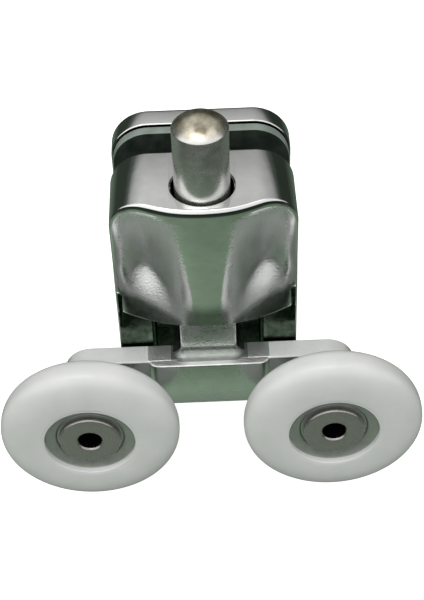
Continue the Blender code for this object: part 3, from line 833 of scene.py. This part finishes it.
def make_gasket(node, rubber):
    """Sheet whose corners keep an even margin to the plate's."""
    start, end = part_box(node)
    corner = CORNER - (HALF_WIDTH - end.x)
    outline = rounded_box_outline(start.x, end.x, start.z, end.z, (corner,) * 4)
    gasket = slab(node + "_sheet", outline, start.y, end.y, 0.12 * MM, 0.12 * MM, rubber, step=0.5 * MM)
    for level in LEVELS:
        centre = Vector((0.0, 0.0, middle(level + "_glass_sleeve").z))
        radius = high(level + "_glass_sleeve").x + GAP
        drill(gasket, radius, start.y - MM, end.y + MM, centre, rubber)
    # The broad faces off the cut edge take the painted shade
    mark(gasket, "cut_edge", cut_edge, "FACE")
    place(gasket, "frame", node, slot="gasket_rubber")


def make_clamp_fixings(materials):
    """Sleeves through the glass and countersunk cross-head screws."""
    for level in LEVELS:
        sleeve = level + "_glass_sleeve"
        start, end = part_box(sleeve)
        centre = (0.0, 0.0, middle(sleeve).z)
        made = ring_piece(
            sleeve + "_tube", 3.3 * MM, end.x, start.y, end.y, centre, 0.12 * MM, materials["sleeve_plastic"]
        )
        place(made, "frame", sleeve, slot="sleeve_plastic")

        screw = level + "_clamp_screw"
        start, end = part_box(screw)
        head = end.x
        shank = 1.95 * MM
        land = 0.25 * MM
        tip = 0.3 * MM
        outer = [
            (0.0, end.y),
            (head - land, end.y),
            (head, end.y - land),
            (shank, end.y - land - (head - shank)),
            (shank, start.y + tip),
            (shank - tip, start.y),
            (0.0, start.y),
        ]
        made = turned(screw + "_fine", rounded(outer, 0.12 * MM), centre, (0, 1, 0), materials["zinc_steel"])
        wing_size = (2.1 * MM, 0.42 * MM, 1.5 * MM)
        for angle in (20, 110):
            wing = block("wing", [-half for half in wing_size], wing_size, materials["zinc_steel"])
            turn = Matrix.Rotation(math.radians(angle), 4, "Y") @ Matrix.Rotation(math.pi / 2, 4, "X")
            wing.data.transform(Matrix.Translation((centre[0], end.y, centre[2])) @ turn)
            cut(made, wing)
        place(made, "frame", screw, slot="zinc_steel")


# ---- pin and spring

def make_pin(steel):
    """Domed pin that narrows to a shank inside the spring, with the screw's hole from below."""
    start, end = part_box("push_pin")
    radius = end.x
    shank = 2.3 * MM
    screw_top = start.z + 7.2 * MM
    dome_edge = end.z - 1.8 * MM
    shoulder = high("return_spring").z + GAP
    rise = end.z - dome_edge
    dome = (radius**2 + rise**2) / (2 * rise)
    half_angle = math.degrees(math.asin(radius / dome))
    profile = arc((0.0, end.z - dome), dome, 90, 90 - half_angle * 0.94, 22)
    profile += [
        (radius - 0.04 * MM, dome_edge + 0.02 * MM),
        (radius, dome_edge - 0.12 * MM),
        (radius, shoulder + 0.3 * MM),
        (radius - 0.3 * MM, shoulder),
        (shank, shoulder),
        (shank, start.z + 0.2 * MM),
        (shank - 0.2 * MM, start.z),
        (SCREW_HOLE, start.z),
        (SCREW_HOLE, screw_top),
        (0.0, screw_top),
    ]
    pin = turned("push_pin_fine", profile, PIN_AXIS, (0, 0, 1), steel)
    # Painted reflection: the dome is painted warm brown
    mark(pin, "painted_dome_reflection", lambda places, normals: smooth((places[:, 2] - dome_edge) / (0.9 * MM)))
    place(pin, "plunger", "push_pin", slot="satin_steel")


def make_spring(steel):
    """Round wire swept along the coil, with a closed turn at each end."""
    start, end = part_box("return_spring")
    wire = 0.4 * MM
    turns = 6.5
    coil = 3.2 * MM
    flat = 2.1 * wire
    low_z = start.z + wire
    high_z = end.z - wire
    steps = 280
    sides = 12
    centres = []
    for index in range(steps + 1):
        turn = turns * index / steps
        if turn < 1.0:
            height = low_z + flat * turn
        elif turn > turns - 1.0:
            height = high_z - flat * (turns - turn)
        else:
            height = low_z + flat + (high_z - low_z - 2 * flat) * (turn - 1.0) / (turns - 2.0)
        angle = math.tau * turn
        centres.append(Vector((
            PIN_PLACE.x + coil * math.cos(angle), PIN_PLACE.y + coil * math.sin(angle), height
        )))
    rings = []
    for index, centre in enumerate(centres):
        ahead = centres[min(index + 1, steps)] - centres[max(index - 1, 0)]
        ahead.normalize()
        outward = Vector((centre.x - PIN_PLACE.x, centre.y - PIN_PLACE.y, 0.0)).normalized()
        up = ahead.cross(outward).normalized()
        ring = []
        for side in range(sides):
            angle = math.tau * side / sides
            ring.append(centre + (outward * math.cos(angle) + up * math.sin(angle)) * wire)
        rings.append(ring)
    spring = face_outwards(stacked("return_spring_wire", rings, steel))
    place(spring, "frame", "return_spring", slot="spring_steel")
    height = end.z - start.z
    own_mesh(spring)


# ---- carriage

FLANGE_FRONT = -7.4 * MM
HEAD_SEAT = -6.7 * MM
NECK_TOP_EDGE = 0.45 * MM


def foot_outline(half_width, front, back, corner, offset):
    """Plan of the neck grown outwards by an offset, counter-clockwise from the back left."""
    radius = corner + offset
    points = [(-half_width - offset, back)]
    points += arc((-half_width + corner, front + corner), radius, 180, 270, 10)
    points += arc((half_width - corner, front + corner), radius, 270, 360, 10)
    points.append((half_width + offset, back))
    return points


def make_carriage(chrome):
    """Cross bar with a boss, a neck with a fillet at its foot, and the guide behind."""
    start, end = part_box("carriage")
    axle_z = middle("left_tyre").z
    half = abs(middle("left_tyre").x)
    bar_radius = end.x - half
    bar_back = high("left_axle").y - 0.9 * MM
    bar_front = high("left_axle_spacer").y + GAP
    boss_front = start.y
    boss_half = 8.7 * MM
    neck_front = boss_front + 2.3 * MM
    neck_half = 4.0 * MM
    boss_top = axle_z + bar_radius - 0.05 * MM

    bar_outline = arc((half, axle_z), bar_radius, -90, 90, 60) + arc((-half, axle_z), bar_radius, 90, 270, 60)
    carriage = slab("carriage_casting", bar_outline, bar_front, bar_back, CAST_EDGE, CAST_EDGE, chrome)

    boss = vertical_block(
        "boss", -boss_half, boss_half, boss_front, bar_back - 0.7 * MM,
        axle_z - bar_radius + 0.02 * MM, boss_top, 1.6 * MM, 0.22 * MM, chrome,
    )
    join(carriage, boss)

    sink = 0.6 * MM
    neck_back = end.y - 2.6 * MM
    corner = 0.5 * MM
    steps = 12
    rings = [(FILLET, boss_top - sink)]
    for step in range(steps + 1):
        turn = math.radians(90 * step / steps)
        rings.append((FILLET * (1 - math.sin(turn)), boss_top + FILLET * (1 - math.cos(turn))))
    rings += [
        (0.0, end.z - NECK_TOP_EDGE), (-NECK_TOP_EDGE / 3, end.z - NECK_TOP_EDGE / 3), (-NECK_TOP_EDGE, end.z)
    ]
    plans = [
        (height, foot_outline(neck_half, neck_front, neck_back, corner, offset)) for offset, height in rings
    ]
    join(carriage, lofted("neck", plans, chrome))

    flange = vertical_block(
        "flange", -7.7 * MM, 7.7 * MM, FLANGE_FRONT, end.y,
        start.z + 0.8 * MM, end.z - 0.4 * MM, 0.3 * MM, 0.2 * MM, chrome,
    )
    join(carriage, flange)
    spine = vertical_block(
        "spine", -neck_half, neck_half, bar_back - 2 * MM, FLANGE_FRONT + MM,
        start.z + 0.5 * MM, boss_top + MM, 0.2 * MM, 0.2 * MM, chrome,
    )
    join(carriage, spine)

    counterbore = 3.1 * MM
    profile = [
        (0.0, end.z + MM),
        (SCREW_HOLE, end.z + MM),
        (SCREW_HOLE, HEAD_SEAT),
        (counterbore, HEAD_SEAT),
        (counterbore, start.z - MM),
        (0.0, start.z - MM),
    ]
    cut(carriage, turned("screw_hole", profile, PIN_AXIS, (0, 0, 1), chrome, steps=64))
    well_in_front = -20 * MM
    for side in SIDES:
        drill(carriage, AXLE_HOLE, well_in_front, 0.0, middle(side + "_tyre"), chrome)

    def as_cast(centres, normals):
        """Rough on the upper faces and on the neck, finer on the upright faces in front."""
        on_neck = (np.abs(centres[:, 0]) < neck_half + FILLET) & (centres[:, 2] > boss_top - 0.1 * MM)
        facing_up = normals[:, 2] > 0.5
        return np.where(facing_up, 1.2, np.where(on_neck, 0.8, 0.35))

    def matt(centres, normals):
        """Matt on the bar's upper faces and half so on the boss between them."""
        facing_up = np.clip((normals[:, 2] - 0.3) / 0.5, 0, 1)
        beside_boss = np.abs(centres[:, 0]) > boss_half
        return facing_up * np.where(beside_boss, 1.0, 0.25)

    def shaded(centres, normals):
        """Painted shade: dark behind the neck and the bar, darker on the fillet at the neck's foot, and a
        little on the neck's upright front.
        """
        beside = (centres[:, 2] > boss_top + 0.6 * MM) & (centres[:, 1] > neck_front + MM)
        guide = (centres[:, 1] > bar_back + 0.1 * MM) & (centres[:, 1] < end.y - 0.1 * MM)
        rise = centres[:, 2] - boss_top
        near_neck = (np.abs(centres[:, 0]) < neck_half + FILLET) & (centres[:, 1] < bar_back)
        fillet = near_neck & (rise > 0.005 * MM) & (rise < FILLET + 0.4 * MM)
        upright = (rise > 0) & (normals[:, 1] < -0.8)
        return np.where(beside | guide, 1.0, np.where(fillet, 0.65, np.where(upright & near_neck, 0.1, 0.0)))

    mark(carriage, "satin", as_cast, "FACE")
    # Painted shade behind the neck and the bar and on the neck's fillet
    mark(carriage, "painted_shade", shaded, "FACE")
    mark(carriage, "blasted", matt, "FACE")
    place(carriage, "plunger", "carriage", slot="chrome_casting")


def lofted(name, plans, material):
    """Solid through level outlines, each given with its height."""
    loops = [[(x, y, height) for x, y in outline] for height, outline in plans]
    return face_outwards(stacked(name, loops, material))


def vertical_block(name, x_low, x_high, front, back, z_low, z_high, corner, edge, material):
    """Block with rounded upright corners and softened top and bottom edges."""
    plans = []
    turns = np.radians(np.linspace(0, 90, 5))
    levels = [(edge * (1 - math.cos(a)), z_low + edge * (1 - math.sin(a))) for a in turns[::-1]]
    levels += [(edge * (1 - math.cos(a)), z_high - edge * (1 - math.sin(a))) for a in turns]
    for inset, height in levels:
        radii = (max(corner - inset, 0.02 * MM),) * 4
        outline = rounded_box_outline(x_low + inset, x_high - inset, front + inset, back - inset, radii)
        plans.append((height, outline))
    return lofted(name, plans, material)


# ---- wheels

def superellipse(start, crest, power, steps):
    """Quarter of a squarish oval from the point start to the point crest, given as (radius, depth)."""
    points = []
    for step in range(steps + 1):
        turn = math.pi / 2 * step / steps
        along = math.sin(turn) ** (2 / power)
        rise = 1 - math.cos(turn) ** (2 / power)
        points.append((start[0] + (crest[0] - start[0]) * along, start[1] + (crest[1] - start[1]) * rise))
    return points


def make_tyre(side, nylon):
    """Nearly flat face round the bearing, a full round rim, and a broader back."""
    node = side + "_tyre"
    start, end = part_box(node)
    centre = middle(node)
    radius = (end.x - start.x) / 2
    front = start.y - centre.y
    rear = end.y - centre.y
    widest = front + 2.7 * MM
    bore = 6.3 * MM
    crest = 7.0 * MM
    sunk = 0.08 * MM
    squareness = 2.8
    steps = 12
    profile = [(bore, 0.3 * MM), (bore, front + sunk + 0.3 * MM)]
    profile += arc((bore + 0.2 * MM, front + sunk + 0.14 * MM), 0.2 * MM, 185, 245, 6)
    face_start = bore + 0.15 * MM
    for step in range(1, steps):
        share = step / steps
        profile.append((face_start + (crest - face_start) * share, front + sunk * (1 - share) ** 1.6))
    profile += superellipse((crest, front), (radius, widest), squareness, 44)
    profile += superellipse((9.0 * MM, rear), (radius, widest), squareness, 30)[:-1][::-1]
    profile += [(bore + 0.8 * MM, rear), (bore + 0.3 * MM, rear - 0.12 * MM), (bore, rear - 0.5 * MM)]
    tyre = turned(node + "_fine", profile, centre, (0, 1, 0), nylon, steps=192, closed=True)
    place(tyre, side + "_wheel", node, slot="white_nylon")


def ring_for(node, inner, centre, edge, material):
    """Turned ring of the node's outer width and depth."""
    start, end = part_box(node)
    outer = (end.x - start.x) / 2
    return ring_piece(
        node + "_fine", inner, outer, start.y - centre.y, end.y - centre.y, centre, edge, material
    )


def make_bearing(side, materials):
    """Outer race that fills the tyre's bore, shields on both faces, and the spacer behind."""
    steel = materials["bearing_steel"]
    centre = middle(side + "_tyre")
    node = side + "_bearing_outer_race"
    start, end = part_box(node)
    inner = 4.72 * MM
    outer = (end.x - start.x) / 2 + 0.26 * MM
    front = start.y - centre.y
    back = end.y - centre.y
    profile = [
        (inner, (front + back) / 2),
        (inner, front + 0.1 * MM),
        (inner + 0.15 * MM, front - 0.05 * MM),
        (outer - 0.5 * MM, front - 0.22 * MM),
        (outer, front - 0.34 * MM),
        (outer, back),
        (inner, back),
    ]
    profile = rounded(profile + profile[:1], 0.12 * MM)[:-1]
    race = turned(node + "_fine", profile, centre, (0, 1, 0), steel, closed=True)
    place(race, side + "_wheel", node, slot="bearing_steel")
    for end_name in ("front", "rear"):
        node = f"{side}_bearing_{end_name}_shield"
        shield = ring_for(node, 3.7 * MM, centre, 0.08 * MM, steel)
        place(shield, side + "_wheel", node, slot="bearing_steel")
    node = side + "_axle_spacer"
    spacer = ring_for(node, AXLE_HOLE, centre, 0.2 * MM, materials["zinc_steel"])
    place(spacer, "plunger", node, slot="zinc_steel")


def make_axle(side, steel):
    """Rivet with a flat chamfered head, a blind hole in front and a spread tail."""
    node = side + "_axle"
    start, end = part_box(node)
    centre = middle(side + "_tyre")
    head = (end.x - start.x) / 2
    shank = 2.3 * MM
    front = start.y - centre.y
    head_back = front + 0.5 * MM
    tail_back = end.y - centre.y
    tail_front = tail_back - 0.6 * MM
    hole = 1.65 * MM
    hole_end = front + 8.5 * MM
    profile = [
        (0.0, hole_end),
        (hole, hole_end),
        (hole, front + 0.22 * MM),
        (hole + 0.2 * MM, front),
        (head - 0.15 * MM, front),
        (head, front + 0.15 * MM),
        (head, head_back),
        (shank, head_back),
        (shank, tail_front),
        (3.2 * MM, tail_front),
        (2.9 * MM, tail_back),
        (0.0, tail_back),
    ]
    axle = turned(node + "_fine", rounded(profile, 0.07 * MM, 3), centre, (0, 1, 0), steel)

    def in_hole(centres, normals):
        off_axis = np.hypot(centres[:, 0] - centre.x, centres[:, 2] - centre.z)
        return ((off_axis < hole + 0.02 * MM) & (centres[:, 1] > start.y + 0.25 * MM)).astype(float)

    # Painted shade: the blind hole in the head is painted near black
    mark(axle, "painted_shade", in_hole, "FACE")
    place(axle, "plunger", node, slot="satin_steel")


# ---- carried-over nodes

def finish_carried_nodes(materials):
    """The hidden CAD pieces keep their shape and take the finished materials."""
    slots = {item["node"]: item["material_slot"] for item in frame["record"]["subparts"]}
    for name, node in frame["nodes"].items():
        if node.hide_render:
            continue
        node.data.materials.clear()
        node.data.materials.append(materials[slots[name]])


# ---- camera, light, floor

# Strength of the light from the left and from the right
LEFT_LIGHT = 1.05
RIGHT_LIGHT = 0.84

# Half widths of the bands in which the light changes over, as parts of the direction's length
LEFT_TO_RIGHT = 0.35
FRONT_TO_REAR = 0.25

# Half of the floor's width in metres
FLOOR_HALF = 3.0

# Light from in front and from behind, by the angle above the horizon in degrees
FRONT_LIGHT = (
    (-90, (0.12, 0.13, 0.12)),
    (-66, (0.15, 0.18, 0.155)),
    (-50, (0.25, 0.34, 0.245)),
    (-46, (0.235, 0.325, 0.23)),
    (-41, (0.16, 0.225, 0.155)),
    (-33, (0.15, 0.205, 0.145)),
    (-27, (0.03, 0.042, 0.03)),
    (-1, (0.01, 0.012, 0.01)),
    (7, (1.1, 1.12, 1.1)),
    (48, (1.15, 1.16, 1.14)),
    (53, (1.75, 1.75, 1.72)),
    (66, (1.75, 1.75, 1.72)),
    (71, (0.7, 0.69, 0.66)),
    (90, (0.62, 0.61, 0.58)),
)
REAR_LIGHT = (
    (-90, (0.13, 0.14, 0.13)),
    (-66, (0.15, 0.18, 0.15)),
    (-44, (0.16, 0.21, 0.16)),
    (-10, (0.03, 0.04, 0.03)),
    (14, (0.03, 0.04, 0.03)),
    (22, (0.08, 0.09, 0.08)),
    (31, (0.4, 0.4, 0.39)),
    (39, (0.51, 0.51, 0.495)),
    (47, (0.64, 0.64, 0.62)),
    (90, (0.6, 0.59, 0.58)),
)


def make_camera():
    """Front view from well above, a little rolled."""
    target = Vector((0.705, -19.4, 8.63)) * MM
    elevation = math.radians(43.75)
    azimuth = math.radians(-0.14)
    roll = math.radians(-2.18)
    distance = 182.1 * MM
    turn = Matrix.Rotation(azimuth, 4, "Z") @ Matrix.Rotation(math.pi / 2 - elevation, 4, "X")
    turn @= Matrix.Rotation(roll, 4, "Z")
    data = bpy.data.cameras.new("camera")
    data.sensor_fit = "VERTICAL"
    data.sensor_height = 24.0
    data.lens = 55.55
    data.clip_start = 5 * MM
    data.clip_end = 20.0
    camera = bpy.data.objects.new("camera", data)
    camera.matrix_world = Matrix.Translation(target) @ turn @ Matrix.Translation((0, 0, distance))
    bpy.context.scene.collection.objects.link(camera)
    bpy.context.scene.camera = camera


def make_world():
    """White backdrop, with a soft studio round the object: grey-green table, dark walls, bright panels."""
    world = bpy.data.worlds.new("studio")
    bpy.context.scene.world = world
    world.use_nodes = True
    sky = Nodes(world.node_tree)
    split = sky.node("ShaderNodeSeparateXYZ")
    sky.link(sky.place.outputs["Generated"], split.inputs["Vector"])
    height = sky.between(split.outputs["Z"], 0.0, 1.0, -1.0, 1.0, "LINEAR")

    def light(stops):
        heights = [(math.sin(math.radians(angle)) + 1) / 2 for angle, color in stops]
        return sky.colors(height, *zip(heights, (color for angle, color in stops)))

    behind = sky.between(split.outputs["Y"], 0.0, 1.0, -FRONT_TO_REAR, FRONT_TO_REAR)
    around = sky.mixed(behind, light(FRONT_LIGHT), light(REAR_LIGHT))
    sideways = sky.between(
        split.outputs["X"], LEFT_LIGHT, RIGHT_LIGHT, -LEFT_TO_RIGHT, LEFT_TO_RIGHT, "LINEAR"
    )
    weighted = sky.node("ShaderNodeVectorMath", operation="SCALE")
    sky.link(around, weighted.inputs["Vector"])
    sky.link(sideways, weighted.inputs["Scale"])
    white = sky.node("ShaderNodeRGB").outputs["Color"]
    white.default_value = (1.0, 1.0, 1.0, 1.0)
    seen = sky.node("ShaderNodeLightPath").outputs["Is Camera Ray"]
    background = sky.tree.nodes["Background"]
    sky.link(sky.mixed(seen, weighted.outputs["Vector"], white), background.inputs["Color"])
    background.inputs["Strength"].default_value = 1.0


def make_lamp(name, place_at, width, depth, power):
    """Soft strip lamp aimed at the object."""
    data = bpy.data.lights.new(name, "AREA")
    data.shape = "RECTANGLE"
    data.size = width
    data.size_y = depth
    data.energy = power
    lamp = bpy.data.objects.new(name, data)
    lamp.location = place_at
    lamp.rotation_euler = (-Vector(place_at)).to_track_quat("-Z", "Y").to_euler()
    bpy.context.scene.collection.objects.link(lamp)


def make_floor():
    """Pale table top, low enough for the wheels at the end of the plunger's travel.

    Only the camera sees it, because a pale floor would turn the chrome's front white.
    """
    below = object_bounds()[0][2] - PLUNGER_TRAVEL - 0.05 * MM
    material = bpy.data.materials.new("pale_table")
    material.use_nodes = True
    shader = material.node_tree.nodes["Principled BSDF"]
    shader.inputs["Base Color"].default_value = (0.9, 0.9, 0.9, 1.0)
    shader.inputs["Roughness"].default_value = 0.9
    shader.inputs["Specular IOR Level"].default_value = 0.0
    shader.inputs["Emission Color"].default_value = (1.0, 1.0, 1.0, 1.0)
    shader.inputs["Emission Strength"].default_value = 0.75
    work = bmesh.new()
    bmesh.ops.create_grid(work, x_segments=1, y_segments=1, size=FLOOR_HALF)
    floor = worked_object("floor", work, material)
    floor.location = (0.0, 0.0, below)
    floor.visible_glossy = False
    floor.visible_diffuse = False
    floor.visible_transmission = False


def make_scene():
    materials = make_materials()
    make_housing(materials["chrome_casting"])
    make_plate(materials["chrome_casting"])
    make_gasket("front_gasket", materials["gasket_rubber"])
    make_gasket("back_gasket", materials["gasket_rubber"])
    make_clamp_fixings(materials)
    make_pin(materials["pin"])
    make_spring(materials["spring_steel"])
    make_carriage(materials["chrome_casting"])
    for side in SIDES:
        make_tyre(side, materials["white_nylon"])
        make_bearing(side, materials)
        make_axle(side, materials["satin_steel"])
    finish_carried_nodes(materials)
    make_camera()
    make_world()
    make_lamp("key", place_at=(-0.06, -0.17, 0.42), width=0.26, depth=0.12, power=0.20)
    make_floor()
    bpy.context.scene.view_settings.view_transform = "Standard"


make_scene()
